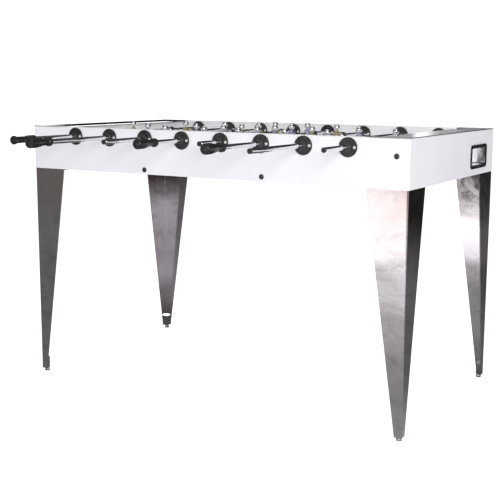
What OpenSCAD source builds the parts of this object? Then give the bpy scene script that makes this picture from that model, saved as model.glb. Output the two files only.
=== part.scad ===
// Foosball table: eight sliding, turning rods over a boxed playfield on four tapered angle legs.
// +X runs along the table, -Y is the long side with the first team's handles, +Z is up.
// The origin lies on the floor, under the centre of the cabinet.

/* [Cabinet] */
// Length over the end walls
cabinet_l = 1440; // [1420:1:1480]
// Width over the long walls
cabinet_w = 788; // [776:1:800]
// Height of the four walls
cabinet_h = 150; // [146:1:165]
// Height of the wall tops above the floor
table_h = 910; // [860:1:960]
// Thickness of the four walls
wall = 22; // [20:1:24]
// Radius of the cabinet's outer corners
corner_r = 5; // [4:1:8]
// Width of the opening in the ball window
window_w = 144; // [136:1:148]
// Height of the opening in the ball window
window_h = 57; // [50:1:58]
// Distance from the table's long centre line to the window's middle
window_y = 232; // [228:1:236]
// Distance from the wall top down to the window's middle
window_drop = 88; // [86:1:90]
// Width of the black rim round the window
window_rim = 12; // [10:1:14]

/* [Playfield] */
// Distance from the rod axes down to the playing surface
field_drop = 76.5; // [74:0.5:80]
// Thickness of the playfield board
field_t = 18; // [16:1:20]
// Distance from the table's middle to each goal wall
goal_x = 605; // [602:1:610]
// Width of a goal mouth
goal_w = 200; // [180:1:240]
// Height of a goal mouth
goal_h = 70; // [60:1:76]
// Distance from the table's middle to the inner edge of an end deck
deck_x = 592; // [590:1:596]

/* [Rods] */
// Distance between neighbouring rods
rod_pitch = 150; // [146:1:152]
// Distance from the wall tops down to the rod axes
rod_drop = 31.5; // [31:0.5:34]
// Diameter of a rod
rod_d = 16; // [15:0.1:16]
// Diameter of the bore in a rod's tube
rod_bore_d = 10; // [8:0.5:11]
// Length of the black cap beyond a rod's bare end
cap_l = 6; // [5:1:10]

/* [Handles] */
// Length of a handle
grip_l = 98; // [92:1:102]
// Diameter of a handle's thick outer part
grip_d = 33; // [29:1:35]
// Diameter of a handle's collar
grip_collar_d = 28; // [24:1:29]

/* [Players] */
// Width of a player's shoulders
player_w = 30; // [26:1:30]
// Thickness of a player's body
player_t = 18; // [14:1:20]
// Height of a player's ball head above the rod axis
head_z = 32; // [30:1:34]
// Diameter of a player's ball head
head_d = 22; // [18:1:24]
// Distance from the rod axis down to the sole of a player's foot
sole_drop = 68; // [66:0.5:68]

/* [Bearings] */
// Diameter of the round bearing plates on both faces of each long wall
plate_d = 60; // [54:1:62]
// Thickness of a bearing plate
plate_t = 6; // [5:0.5:7]
// Diameter of the hub that joins two plates through the wall
hub_d = 34; // [30:1:40]
// Outside diameter of the turning sleeve in a bearing
sleeve_d = 22; // [20.5:0.5:24]
// Radial running clearance in the bearings
clearance = 0.05; // [0.02:0.01:0.08]

/* [Legs] */
// Width of a leg's two wings under the cabinet
leg_top_w = 134; // [120:1:140]
// Width of a leg's two wings at its lower end
leg_foot_w = 25; // [24:1:30]
// Thickness of the leg sheet
leg_t = 3; // [2:0.5:4]
// Height of the leg's lower end above the floor
leg_lift = 12; // [8:1:16]
// Height of the block that closes a leg's lower end
leg_block_h = 42; // [36:1:50]
// Diameter of a levelling foot
foot_d = 18; // [16:1:20]

/* [Hidden] */
PLACES = ["front_left", "front_right", "back_left", "back_right"];
RODS = [1 : 8];
ROD_PARTS = ["shaft", "players", "grip", "bumpers", "sleeves"];
FIXED = ["front_wall", "back_wall", "left_end_wall", "right_end_wall", "playfield", "goal_walls",
         "end_decks", "bearing_housings", "cabinet_bolts", "return_frames", "ball_trays",
         "leg_mountings"];
$fn = 48;
overlap = 0.01;

// Heights and half sizes of the cabinet
base_z = table_h - cabinet_h;
rod_z = table_h - rod_drop;
field_z = rod_z - field_drop;
half_l = cabinet_l / 2;
half_w = cabinet_w / 2;
in_l = half_l - wall;
in_w = half_w - wall;
window_z = table_h - window_drop;

// Ball windows: the liner through the wall, the hole round it and the rim on the face
liner_l = wall + 5;
liner_t = 2.5;
liner_gap = 0.5;
liner_r = 6.5;
window_r = 5;
rim_t = 3;
rim_r = 14;

// Goal walls, decks, corner posts and trays
goal_wall_t = 12;
deck_t = 1.5;
deck_drop = 4;
deck_z = table_h - deck_drop;
flange_inset = 1.5;
post_w = 36;
batten_w = 36;
batten_h = 22;
tray_t = 2;
tray_low_z = field_z - 18;
tray_high_z = field_z - 11;

// Bolts: heads and shanks, and where they sit on the long walls
bolt_d = 8;
bolt_hole_d = bolt_d + 0.2;
bolt_head_t = 3;
low_bolt_x = 228;
low_bolt_z = base_z + 15;
low_bolt_head_d = 17;
high_bolt_x = half_l - 40;
high_bolt_z = table_h - 52.5;
high_bolt_head_d = 17;
bolt_l = wall + 16;
leg_bolt_at = [40, 100];
leg_bolt_l = 22;
leg_bolt_head_d = 13;
leg_bolt_head_t = 5;
leg_plate_t = 4;
seat_gap = 0.02;

// Bearings
hub_hole_d = hub_d + 0.2;
sleeve_lip_t = 2;
sleeve_lip_d = sleeve_d + 5;
sleeve_gap = 0.2;
sleeve_half = wall / 2 + plate_t + sleeve_gap;

// One entry per rod: [number of players, spacing, travel each way, grip end, bare end,
// rest offset, handle side, slim handle]. Lengths are from the rod's middle.
team_a = -1;
team_b = 1;
KEEPER = [1, 0, 112, 629, 525];
BACKS = [2, 240, 189, 728, 599];
FORWARDS = [3, 192, 117, 661, 523];
MIDFIELD = [5, 122, 65, 616, 474];
ROWS = [
    concat(KEEPER, [-69, team_a, true]),
    concat(BACKS, [-57, team_a, false]),
    concat(FORWARDS, [-87, team_b, false]),
    concat(MIDFIELD, [-19, team_a, false]),
    concat(MIDFIELD, [-42, team_b, false]),
    concat(FORWARDS, [-50, team_a, false]),
    concat(BACKS, [-113, team_b, false]),
    concat(KEEPER, [-32, team_b, true])];
function players_of(k) = ROWS[k - 1][0];
function spacing_of(k) = ROWS[k - 1][1];
function travel_of(k) = ROWS[k - 1][2];
function grip_end_of(k) = ROWS[k - 1][3];
function bare_end_of(k) = ROWS[k - 1][4];
function offset_of(k) = ROWS[k - 1][5];
function side_of(k) = ROWS[k - 1][6];
function slim_of(k) = ROWS[k - 1][7];
function rod_x(k) = (k - 4.5) * rod_pitch;

// Fits on a rod, and the faces that stop it
rod_fit_d = rod_d + 0.06;
stop_y = in_w - plate_t - sleeve_gap - sleeve_lip_t - 0.8;
bumper_l = 39;
bumper_d = 28;
bumper_washer_d = 31;
bumper_sleeve_d = 21;
collar_l = 10;
collar_d = 26;

// Leg inset, feet and the corner they share
leg_inset = 1;
foot_at = 13.5;
foot_pad_h = 10;
foot_stem_d = 10;
foot_stem_top = leg_lift + leg_block_h - 4;

// A rectangle with round corners, drawn about its middle
module round_rect(size, r) {
    square([size.x - 2 * r, size.y], center = true);
    square([size.x, size.y - 2 * r], center = true);
    for (sx = [-1, 1], sy = [-1, 1])
        translate([sx * (size.x / 2 - r), sy * (size.y / 2 - r)]) circle(r);
}

// Extrudes an X-Z drawing along Y, or a Y-Z drawing along X, about the origin
module along_y(l) { rotate([90, 0, 0]) linear_extrude(l, center = true) children(); }
module along_x(l) { rotate([90, 0, 90]) linear_extrude(l, center = true) children(); }

// A cylinder along Y from y0 to y1
module rod_of(d, y0, y1) {
    translate([0, min(y0, y1), 0]) rotate([-90, 0, 0]) cylinder(d = d, h = abs(y1 - y0));
}

// The cabinet's outside shape, with its vertical corners and top corners rounded
module cabinet_envelope() {
    extra = 40;
    intersection() {
        translate([0, 0, base_z]) linear_extrude(cabinet_h) round_rect([cabinet_l, cabinet_w], corner_r);
        translate([0, 0, table_h - extra * 2])
            along_y(cabinet_w + 2) round_rect([cabinet_l, extra * 4], corner_r);
        translate([0, 0, table_h - extra * 2])
            along_x(cabinet_l + 2) round_rect([cabinet_w, extra * 4], corner_r);
    }
}

// Positions of the four legs: the child is drawn with its outer corner at the origin, wings in +X and +Y
module at_corner(place) {
    sx = (place == "front_left" || place == "back_left") ? 1 : -1;
    sy = (place == "front_left" || place == "front_right") ? 1 : -1;
    translate([-sx * (half_l - leg_inset), -sy * (half_w - leg_inset), 0])
        scale_sign(sx, sy) children();
}
module scale_sign(sx, sy) {
    mirror([sx < 0 ? 1 : 0, 0, 0]) mirror([0, sy < 0 ? 1 : 0, 0]) children();
}

// ---- Cabinet ----

// Long wall at y = -half_w for side -1 and y = half_w for side 1
module long_wall(side) {
    color("white") difference() {
        intersection() {
            translate([-half_l, side > 0 ? in_w : -half_w, base_z]) cube([cabinet_l, wall, cabinet_h]);
            cabinet_envelope();
        }
        for (k = RODS)
            translate([rod_x(k), 0, rod_z]) rod_of(hub_hole_d, side * (in_w - 1), side * (half_w + 1));
        for (sx = [-1, 1]) {
            translate([sx * low_bolt_x, 0, low_bolt_z])
                rod_of(bolt_hole_d, side * (in_w - 1), side * (half_w + 1));
            translate([sx * high_bolt_x, 0, high_bolt_z])
                rod_of(bolt_hole_d, side * (in_w - 1), side * (half_w + 1));
            for (a = leg_bolt_at)
                translate([sx * (half_l - leg_inset - a), side * (half_w - wall / 2), base_z - 1])
                    cylinder(d = bolt_hole_d, h = leg_bolt_l + 2);
        }
    }
}

// The ball window's opening, grown by a distance all round
module window_shape(grow, r) { round_rect([window_w + 2 * grow, window_h + 2 * grow], r); }

// End wall with the hole for its ball window; the left one is the right one turned half round
module end_wall() {
    color("white") difference() {
        intersection() {
            translate([in_l, -in_w, base_z]) cube([wall, 2 * in_w, cabinet_h]);
            cabinet_envelope();
        }
        translate([in_l + wall / 2, window_y, window_z])
            along_x(wall + 2) window_shape(liner_t + liner_gap, liner_r + liner_gap);
        for (sy = [-1, 1], a = leg_bolt_at)
            translate([half_l - wall / 2, sy * (half_w - leg_inset - a), base_z - 1])
                cylinder(d = bolt_hole_d, h = leg_bolt_l + 2);
    }
}

// Black frame that lines the window and covers its edge
module return_frame() {
    color("dimgray") translate([0, window_y, window_z]) difference() {
        union() {
            translate([half_l - liner_l / 2, 0, 0]) along_x(liner_l) window_shape(liner_t, liner_r);
            translate([half_l + rim_t / 2, 0, 0]) along_x(rim_t) window_shape(window_rim, rim_r);
        }
        translate([half_l, 0, 0]) along_x(4 * wall) window_shape(0, window_r);
    }
}

// Both ends: the child is drawn for the right end
module both_ends() {
    for (turn = [0, 180]) rotate([0, 0, turn]) children();
}

module return_frames() { both_ends() return_frame(); }

// Playing surface on two battens that the low bolts hold
module playfield() {
    color("whitesmoke") {
        translate([-goal_x - goal_wall_t, -in_w, field_z - field_t])
            cube([2 * (goal_x + goal_wall_t), 2 * in_w, field_t]);
        for (sx = [-1, 1]) difference() {
            translate([sx * low_bolt_x - batten_w / 2, -in_w, field_z - field_t - batten_h])
                cube([batten_w, 2 * in_w, batten_h]);
            for (sy = [-1, 1])
                translate([sx * low_bolt_x, 0, low_bolt_z])
                    rod_of(bolt_hole_d, sy * (in_w - 20), sy * (in_w + 1));
        }
    }
}

// Goal wall with its mouth, and the two posts in the corners behind it
module goal_end() {
    color("white") {
        difference() {
            translate([goal_x, -in_w, field_z]) cube([goal_wall_t, 2 * in_w, deck_z - field_z]);
            translate([goal_x - 1, -goal_w / 2, field_z - 1]) cube([goal_wall_t + 2, goal_w, goal_h + 1]);
        }
        for (sy = [-1, 1]) difference() {
            translate([in_l - post_w, sy > 0 ? in_w - post_w : -in_w, tray_high_z + tray_t])
                cube([post_w, post_w, deck_z - tray_high_z - tray_t]);
            translate([high_bolt_x, 0, high_bolt_z])
                rod_of(bolt_hole_d, sy * (in_w - 20), sy * (in_w + 1));
        }
    }
}
module goal_walls() { both_ends() goal_end(); }

// Polished deck over the goal pocket: a shallow dish pressed in sheet, its flange on the walls' tops
module end_deck() {
    flange_l = half_l - flange_inset - deck_x;
    flange_w = half_w - flange_inset;
    rise = deck_drop + deck_t;
    difference() {
        union() {
            translate([deck_x, -in_w, deck_z]) cube([in_l - deck_x, 2 * in_w, rise]);
            translate([deck_x, -flange_w, table_h]) cube([flange_l, 2 * flange_w, deck_t]);
        }
        translate([deck_x - 1, deck_t - in_w, deck_z + deck_t])
            cube([in_l - deck_x - deck_t + 1, 2 * (in_w - deck_t), rise]);
    }
}
module end_decks() { color("slategray") both_ends() end_deck(); }

// Sheet tray under the goal pocket: it falls towards the ball window
module ball_tray() {
    tray_x = goal_x + goal_wall_t;
    tray_w = in_l - tray_x;
    color("silver") translate([tray_x, 0, 0]) {
        translate([tray_w / 2, 0, 0]) along_x(tray_w)
            polygon([[-in_w, tray_high_z], [window_y, tray_low_z], [in_w, tray_high_z],
                     [in_w, tray_high_z + tray_t], [window_y, tray_low_z + tray_t],
                     [-in_w, tray_high_z + tray_t]]);
        translate([0, -in_w, tray_low_z]) cube([tray_t, 2 * in_w, field_z - tray_low_z]);
    }
}
module ball_trays() { both_ends() ball_tray(); }

// ---- Bearings ----

// Two plates joined through the wall by a hub, with the bore for the turning sleeve
module bearing_housing() {
    difference() {
        union() {
            rod_of(hub_d, -wall / 2, wall / 2);
            rod_of(plate_d, wall / 2, wall / 2 + plate_t);
            rod_of(plate_d, -wall / 2 - plate_t, -wall / 2);
        }
        rod_of(sleeve_d + 2 * clearance, -wall, wall);
    }
}
module bearing_housings() {
    color("dimgray") for (k = RODS, sy = [-1, 1])
        translate([rod_x(k), sy * (half_w - wall / 2), rod_z]) bearing_housing();
}

// Lipped sleeve that turns in a bearing and lets the rod slide
module bearing_sleeve() {
    difference() {
        union() {
            rod_of(sleeve_d, -sleeve_half, sleeve_half);
            for (s = [-1, 1]) rod_of(sleeve_lip_d, s * sleeve_half, s * (sleeve_half + sleeve_lip_t));
        }
        rod_of(rod_d + 2 * clearance, -wall, wall);
    }
}
module rod_sleeves(k) {
    color("gray") for (sy = [-1, 1])
        translate([rod_x(k), sy * (half_w - wall / 2), rod_z]) bearing_sleeve();
}

// ---- Bolts ----

// Round-headed bolt in a long wall: the shank runs inwards from the face at side * half_w
module wall_bolt(head_d, side) {
    rod_of(head_d, side * half_w, side * (half_w + bolt_head_t));
    rod_of(bolt_d, side * half_w, side * (half_w - bolt_l));
}
module cabinet_bolts() {
    color("black") for (side = [-1, 1], sx = [-1, 1]) {
        translate([sx * low_bolt_x, 0, low_bolt_z]) wall_bolt(low_bolt_head_d, side);
        translate([sx * high_bolt_x, 0, high_bolt_z]) wall_bolt(high_bolt_head_d, side);
    }
}

// ---- Rods ----

// A rod's own frame: its middle at the origin, its handle towards +Y
module on_rod(k) {
    translate([rod_x(k), offset_of(k), rod_z])
        mirror([0, side_of(k) < 0 ? 1 : 0, 0]) children();
}

module rod_shaft(k) {
    grip_wall = 5;
    color("silver") on_rod(k) difference() {
        rod_of(rod_d, -bare_end_of(k) + cap_l, grip_end_of(k) - grip_wall);
        rod_of(rod_bore_d, -bare_end_of(k), grip_end_of(k));
    }
}

// Handle: a thick outer part that tapers to a neck, and a collar towards the table
module grip_profile() {
    r = grip_d / 2;
    neck_r = 10.6;
    collar_r = grip_collar_d / 2;
    polygon([[0, 0], [r - 5, 0], [r - 2, 1.2], [r, 5], [r, 32], [r - 1.2, 42], [r - 3.6, 52],
             [neck_r + 0.6, 65], [neck_r, 71], [neck_r, 80], [collar_r - 1, 84.5], [collar_r, 87],
             [collar_r, grip_l - 2.5], [collar_r - 2.5, grip_l], [0, grip_l]]);
}

// Slimmer handle of the goalkeepers' rods: a flared end, a plain barrel and a thicker sleeve
module slim_grip_profile() {
    polygon([[0, 0], [12, 0], [14, 2], [14, 8], [11.4, 13], [10.6, 20], [10.6, 58], [12.4, 63],
             [13, 65], [13, grip_l - 2], [11.4, grip_l], [0, grip_l]]);
}
module rod_grip(k) {
    bore_from = 5;
    color("black") on_rod(k) translate([0, grip_end_of(k), 0]) rotate([90, 0, 0]) difference() {
        rotate_extrude() {
            if (slim_of(k)) slim_grip_profile();
            else grip_profile();
        }
        translate([0, 0, bore_from]) cylinder(d = rod_fit_d, h = grip_l);
    }
}

// One player, with the rod axis through its origin
module player(side) {
    sole_t = 16;
    color("silver") translate([0, 0, head_z]) sphere(d = head_d);
    color(side == team_a ? "goldenrod" : "mediumpurple") difference() {
        union() {
            cylinder(d = 9, h = head_z - head_d / 2 + 1.2);
            along_x(player_t) polygon([[-player_w / 2 + 3, 17], [player_w / 2 - 3, 17], [player_w / 2, 13],
                                       [player_w / 2, 4], [player_w / 2 - 3.5, -12],
                                       [-player_w / 2 + 3.5, -12], [-player_w / 2, 4],
                                       [-player_w / 2, 13]]);
            rod_of(24, -player_w / 2, player_w / 2);
            along_x(player_t - 4) polygon([[-11, -10], [11, -10], [8.5, -sole_drop + sole_t],
                                           [-8.5, -sole_drop + sole_t]]);
            along_y(23) polygon([[-6.5, -sole_drop + sole_t + 6], [6.5, -sole_drop + sole_t + 6],
                                 [10, -sole_drop + 4], [8, -sole_drop], [-8, -sole_drop],
                                 [-10, -sole_drop + 4]]);
        }
        rod_of(rod_fit_d, -player_w, player_w);
        translate([0, 0, head_z]) sphere(d = head_d + 0.04);
    }
}
module rod_players(k) {
    n = players_of(k);
    on_rod(k) for (i = [0 : n - 1])
        translate([0, (i - (n - 1) / 2) * spacing_of(k), 0]) player(side_of(k));
}

// Rubber bumper with a washer on its wall side, from y = end back towards the rod's middle
module bumper(end) {
    washer_t = 3;
    pad_l = 16;
    rod_of(bumper_washer_d, end - washer_t, end);
    rod_of(bumper_d, end - washer_t - pad_l, end - washer_t);
    rod_of(bumper_sleeve_d, end - bumper_l, end - washer_t - pad_l);
}

// Both bumpers, the goalkeepers' stop collars behind them, and the cap on the bare end
module rod_bumpers(k) {
    end = stop_y - travel_of(k);
    plug_l = 14;
    color("black") on_rod(k) {
        difference() {
            for (s = [-1, 1]) mirror([0, s < 0 ? 1 : 0, 0]) {
                bumper(end);
                if (slim_of(k)) rod_of(collar_d, end - bumper_l - collar_l, end - bumper_l);
            }
            rod_of(rod_fit_d, -end - 1, end + 1);
        }
        translate([0, -bare_end_of(k), 0]) {
            rod_of(rod_d, 0, cap_l);
            rod_of(rod_bore_d - 0.06, cap_l - overlap, cap_l + plug_l);
        }
    }
}

// ---- Legs ----

// One tapered wing in the X-Z plane
module leg_wing() {
    translate([0, leg_t / 2, 0]) along_y(leg_t)
        polygon([[0, leg_lift], [0, base_z], [leg_top_w, base_z], [leg_foot_w, leg_lift]]);
}

// L-shaped leg of two tapered wings; a drilled block closes its lower end
module leg(place) {
    chamfer = 3;
    color("silver") at_corner(place) difference() {
        union() {
            leg_wing();
            mirror([1, -1, 0]) leg_wing();
            translate([0, 0, leg_lift]) linear_extrude(leg_block_h)
                polygon([[0, 0], [leg_foot_w, 0], [leg_foot_w, leg_foot_w - chamfer],
                         [leg_foot_w - chamfer, leg_foot_w], [0, leg_foot_w]]);
        }
        translate([foot_at, foot_at, 0])
            cylinder(d = foot_stem_d + 2 * clearance, h = leg_lift + leg_block_h + 1);
    }
}

// Places of a corner's four bolts, two along each wall
module at_leg_bolts() {
    in = wall / 2 - leg_inset;
    for (a = leg_bolt_at) {
        translate([a, in, base_z]) children();
        translate([in, a, base_z]) children();
    }
}

// Corner plate under the walls with its four bolts
module leg_mounting() {
    inner = leg_t + 0.2;
    far = leg_top_w - 2 * leg_t;
    cut = 60;
    difference() {
        translate([0, 0, base_z - leg_plate_t]) linear_extrude(leg_plate_t)
            polygon([[inner, inner], [far, inner], [far, cut], [cut, far], [inner, far]]);
        at_leg_bolts() cylinder(d = bolt_hole_d, h = 3 * leg_plate_t, center = true);
    }
    at_leg_bolts() {
        head_top = -leg_plate_t - seat_gap;
        translate([0, 0, head_top - leg_bolt_head_t]) cylinder(d = leg_bolt_head_d, h = leg_bolt_head_t);
        translate([0, 0, head_top]) cylinder(d = bolt_d, h = leg_bolt_l - head_top);
    }
}
module leg_mountings() {
    color("black") for (p = PLACES) at_corner(p) leg_mounting();
}

// Levelling foot: a round pad on a stem that turns in the leg's block
module foot(place) {
    color("gainsboro") at_corner(place) translate([foot_at, foot_at, 0]) {
        cylinder(d = foot_d, h = foot_pad_h);
        cylinder(d = foot_stem_d, h = foot_stem_top);
    }
}

long_wall(-1);  // front_wall
long_wall(1);  // back_wall
rotate([0, 0, 180]) end_wall();  // left_end_wall
end_wall();  // right_end_wall
playfield();
goal_walls();
end_decks();
bearing_housings();
cabinet_bolts();
return_frames();
ball_trays();
leg_mountings();
for (p = PLACES) leg(p);
for (p = PLACES) foot(p);
for (k = RODS) rod_shaft(k);
for (k = RODS) rod_players(k);
for (k = RODS) rod_grip(k);
for (k = RODS) rod_bumpers(k);
for (k = RODS) rod_sleeves(k);
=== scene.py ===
"""Looks for the foosball table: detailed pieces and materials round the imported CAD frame.

Units are metres. +X runs along the table, -Y is the long side with the first team's handles, and
+Z is up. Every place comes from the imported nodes' boxes; shapes are lathed, lofted or cut here.
"""

import math

import bmesh
import bpy
from mathutils import Matrix, Vector


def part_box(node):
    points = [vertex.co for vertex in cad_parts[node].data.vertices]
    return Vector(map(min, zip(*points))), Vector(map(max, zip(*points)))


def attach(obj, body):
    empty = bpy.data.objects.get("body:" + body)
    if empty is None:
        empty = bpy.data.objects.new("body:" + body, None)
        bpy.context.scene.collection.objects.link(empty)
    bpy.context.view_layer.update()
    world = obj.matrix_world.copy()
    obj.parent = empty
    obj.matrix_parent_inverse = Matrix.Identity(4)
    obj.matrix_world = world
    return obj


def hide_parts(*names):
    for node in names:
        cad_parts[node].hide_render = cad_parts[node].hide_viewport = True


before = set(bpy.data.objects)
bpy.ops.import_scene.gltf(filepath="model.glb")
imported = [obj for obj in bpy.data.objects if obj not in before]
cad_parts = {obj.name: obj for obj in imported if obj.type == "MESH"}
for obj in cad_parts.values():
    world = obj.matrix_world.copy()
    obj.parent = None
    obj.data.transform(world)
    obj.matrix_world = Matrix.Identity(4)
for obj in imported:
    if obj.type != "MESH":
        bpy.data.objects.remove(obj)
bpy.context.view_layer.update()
mm = 0.001


# ---------------------------------------------------------------- measures from the frame

def centre_of(low, high):
    """The middle of a box."""
    return (low + high) / 2


def solids_of(node, gap=2e-6):
    """Boxes of the separate solids in a CAD node, as (low, high) pairs."""
    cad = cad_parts[node]
    work = bmesh.new()
    work.from_mesh(cad.data)
    bmesh.ops.remove_doubles(work, verts=work.verts, dist=gap)
    seen = set()
    boxes = []
    for start in work.verts:
        if start in seen:
            continue
        seen.add(start)
        stack = [start]
        low = start.co.copy()
        high = start.co.copy()
        while stack:
            vert = stack.pop()
            low = Vector(map(min, low, vert.co))
            high = Vector(map(max, high, vert.co))
            for edge in vert.link_edges:
                other = edge.other_vert(vert)
                if other not in seen:
                    seen.add(other)
                    stack.append(other)
        boxes.append((low, high))
    work.free()
    return boxes


RODS = range(1, 9)
PLAYER_COUNTS = (1, 2, 3, 5, 5, 3, 2, 1)
PLACES = ("front_left", "front_right", "back_left", "back_right")
front_low, front_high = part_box("front_wall")
back_low, back_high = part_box("back_wall")
half_l = front_high.x
half_w = back_high.y
wall = back_high.y - back_low.y
base_z = front_low.z
field_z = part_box("playfield")[1].z
goal_line = 0.585
touch_line = 0.345
head_height = 32 * mm
head_radius = 11 * mm


class Rod:
    """Where one rod and what is on it lie at rest."""

    def __init__(self, number):
        self.name = f"rod{number}"
        shaft_low, shaft_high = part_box(f"{self.name}_shaft")
        grip_low, grip_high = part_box(f"{self.name}_grip")
        men_low, men_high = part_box(f"{self.name}_players")
        soft_low, soft_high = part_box(f"{self.name}_bumpers")
        self.x = centre_of(shaft_low, shaft_high).x
        self.z = centre_of(shaft_low, shaft_high).z
        self.radius = (shaft_high.x - shaft_low.x) / 2
        # What sits on the tube is bored a hair wider than it
        self.bore = self.radius + 0.03 * mm
        self.middle = centre_of(men_low, men_high).y
        self.side = 1 if grip_high.y > self.middle + half_w / 2 else -1
        self.slim = grip_high.x - grip_low.x < 30 * mm
        self.grip_out = grip_high.y if self.side > 0 else grip_low.y
        self.grip_in = grip_low.y if self.side > 0 else grip_high.y
        self.bare_out = soft_low.y if self.side > 0 else soft_high.y
        self.shaft_bare = shaft_low.y if self.side > 0 else shaft_high.y
        self.bumper_end = abs((soft_high.y if self.side > 0 else soft_low.y) - self.middle)
        wide = men_high.y - men_low.y
        count = PLAYER_COUNTS[number - 1]
        shoulders = 30 * mm
        first = self.middle - (wide - shoulders) / 2
        step = (wide - shoulders) / max(1, count - 1)
        self.player_ys = [first + step * i for i in range(count)]


rods = [Rod(number) for number in RODS]


# ---------------------------------------------------------------- materials

class Graph:
    """A shader's node tree under construction."""

    def __init__(self, tree):
        self.nodes = tree.nodes
        self.links = tree.links

    def feed(self, socket, value):
        """Gives a socket another node's output or a plain value."""
        if isinstance(value, bpy.types.NodeSocket):
            self.links.new(value, socket)
        else:
            socket.default_value = (*value, 1) if socket.type == "RGBA" else value

    def made(self, kind, output, **inputs):
        """An output of a new node, whose named inputs are fed."""
        node = self.nodes.new(kind)
        for name, value in inputs.items():
            self.feed(node.inputs[name.replace("_", " ")], value)
        return node.outputs[output]

    def axes(self, vector):
        """The X, Y and Z of a vector."""
        node = self.nodes.new("ShaderNodeSeparateXYZ")
        self.feed(node.inputs["Vector"], vector)
        return [node.outputs[axis] for axis in "XYZ"]

    def remap(self, value, low, high, start=0.3, end=0.7):
        """The value's stretch from start to end becomes low to high."""
        return self.made("ShaderNodeMapRange", "Result", Value=value, From_Min=start, From_Max=end,
                         To_Min=low, To_Max=high)

    def math(self, operation, *values):
        """A math node on outputs or plain numbers."""
        node = self.nodes.new("ShaderNodeMath")
        node.operation = operation
        for socket, value in zip(node.inputs, values):
            self.feed(socket, value)
        return node.outputs["Value"]

    def times(self, first, second):
        return self.math("MULTIPLY", first, second)

    def plus(self, first, second):
        return self.math("ADD", first, second)

    def mix(self, share, first, second):
        """A number that goes from first to second with the share."""
        return self.made("ShaderNodeMix", "Result", Factor=share, A=first, B=second)

    def blend(self, share, first, second):
        """A colour that goes from first to second with the share."""
        node = self.nodes.new("ShaderNodeMix")
        node.data_type = "RGBA"
        for place, value in ((0, share), (6, first), (7, second)):
            self.feed(node.inputs[place], value)
        return node.outputs[2]


class Finish(Graph):
    """A material under construction: the shader's own sockets hold the plain values."""

    def __init__(self, name, color, metallic=0.0, roughness=0.5, **sockets):
        self.material = bpy.data.materials.new(name)
        self.material.use_nodes = True
        super().__init__(self.material.node_tree)
        self.shader = self.nodes["Principled BSDF"]
        sockets.update(Base_Color=color, Metallic=metallic, Roughness=roughness)
        for socket, value in sockets.items():
            self.feed(self.shader.inputs[socket.replace("_", " ")], value)
        self.place = self.nodes.new("ShaderNodeTexCoord").outputs["Object"]

    def stretched(self, scale):
        """Object coordinates scaled by a triple, for streaks along an axis."""
        return self.made("ShaderNodeMapping", "Vector", Vector=self.place, Scale=scale)

    def noise(self, scale, detail=3.0, rough=0.5, vector=None, distortion=0.0):
        """The value of a noise texture."""
        return self.made("ShaderNodeTexNoise", "Fac", Scale=scale, Detail=detail, Roughness=rough,
                         Distortion=distortion, Vector=vector or self.place)

    def color(self, value):
        self.feed(self.shader.inputs["Base Color"], value)

    def roughness(self, value):
        self.feed(self.shader.inputs["Roughness"], value)

    def bump(self, *layers):
        """Layers of (height value, strength, distance in metres), one over another."""
        below = {}
        for height, strength, distance in layers:
            below["Normal"] = self.made("ShaderNodeBump", "Normal", Strength=strength, Distance=distance,
                                        Height=height, **below)
        self.feed(self.shader.inputs["Normal"], below["Normal"])


def make_white_laminate():
    """Glossy white laminate: a faint orange peel, hand marks in the gloss and a little dust tone."""
    f = Finish("white_laminate", (0.86, 0.86, 0.88), roughness=0.24, IOR=1.45)
    f.color(f.blend(f.remap(f.noise(2.3, 4), 0, 1), (0.83, 0.826, 0.86), (0.87, 0.867, 0.893)))
    f.roughness(f.remap(f.noise(9, 4), 0.28, 0.34))
    f.bump((f.noise(260, 2), 0.04, 0.0004), (f.noise(34, 2), 0.02, 0.001))
    return f.material


def make_field():
    """Pale satin playing surface with thin printed lines of a generic pitch."""
    f = Finish("playfield_laminate", (0.8, 0.81, 0.82), roughness=0.3, IOR=1.5, Coat_Weight=0.2,
               Coat_Roughness=0.1)
    x, y, z = f.axes(f.place)
    x = f.math("ABSOLUTE", x)
    y = f.math("ABSOLUTE", y)
    line = 2.5 * mm
    circle_r, spot_r = 0.1, 0.008
    arc_r, arc_in = 0.09, 0.13
    goal_areas = ((0.2, 0.22), (0.09, 0.13))

    def near(value, target):
        gap = f.math("ABSOLUTE", f.math("SUBTRACT", value, target))
        return f.math("LESS_THAN", gap, line)

    def under(value, limit):
        return f.math("LESS_THAN", value, limit + line)

    def over(value, limit):
        return f.math("GREATER_THAN", value, limit - line)

    both = f.times

    def either(*values):
        total = values[0]
        for value in values[1:]:
            total = f.math("MAXIMUM", total, value)
        return total

    def ring(cx, radius):
        dx = f.math("SUBTRACT", x, cx)
        length = f.math("SQRT", f.plus(f.times(dx, dx), f.times(y, y)))
        return near(length, radius), length

    def goal_area(deep, half_wide):
        sides = both(near(y, half_wide), both(over(x, goal_line - deep), under(x, goal_line)))
        return either(sides, both(near(x, goal_line - deep), under(y, half_wide)))

    circle, from_middle = ring(0.0, circle_r)
    arc, _ = ring(goal_line - arc_in, arc_r)
    marks = either(
        both(under(x, 0), under(y, touch_line)),
        circle,
        f.math("LESS_THAN", from_middle, spot_r),
        both(near(y, touch_line), under(x, goal_line)),
        both(near(x, goal_line), under(y, touch_line)),
        *(goal_area(*sizes) for sizes in goal_areas),
        both(arc, under(x, goal_line - goal_areas[0][0])),
    )
    top = f.math("GREATER_THAN", z, field_z - 1 * mm)
    tone = f.blend(f.remap(f.noise(3.1, 4), 0, 1), (0.77, 0.78, 0.79), (0.84, 0.845, 0.85))
    f.color(f.blend(both(marks, top), tone, (0.16, 0.17, 0.19)))
    f.roughness(f.remap(f.noise(14, 5, 0.6), 0.22, 0.38))
    f.bump((f.noise(420, 2), 0.05, 0.0003))
    return f.material


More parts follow.
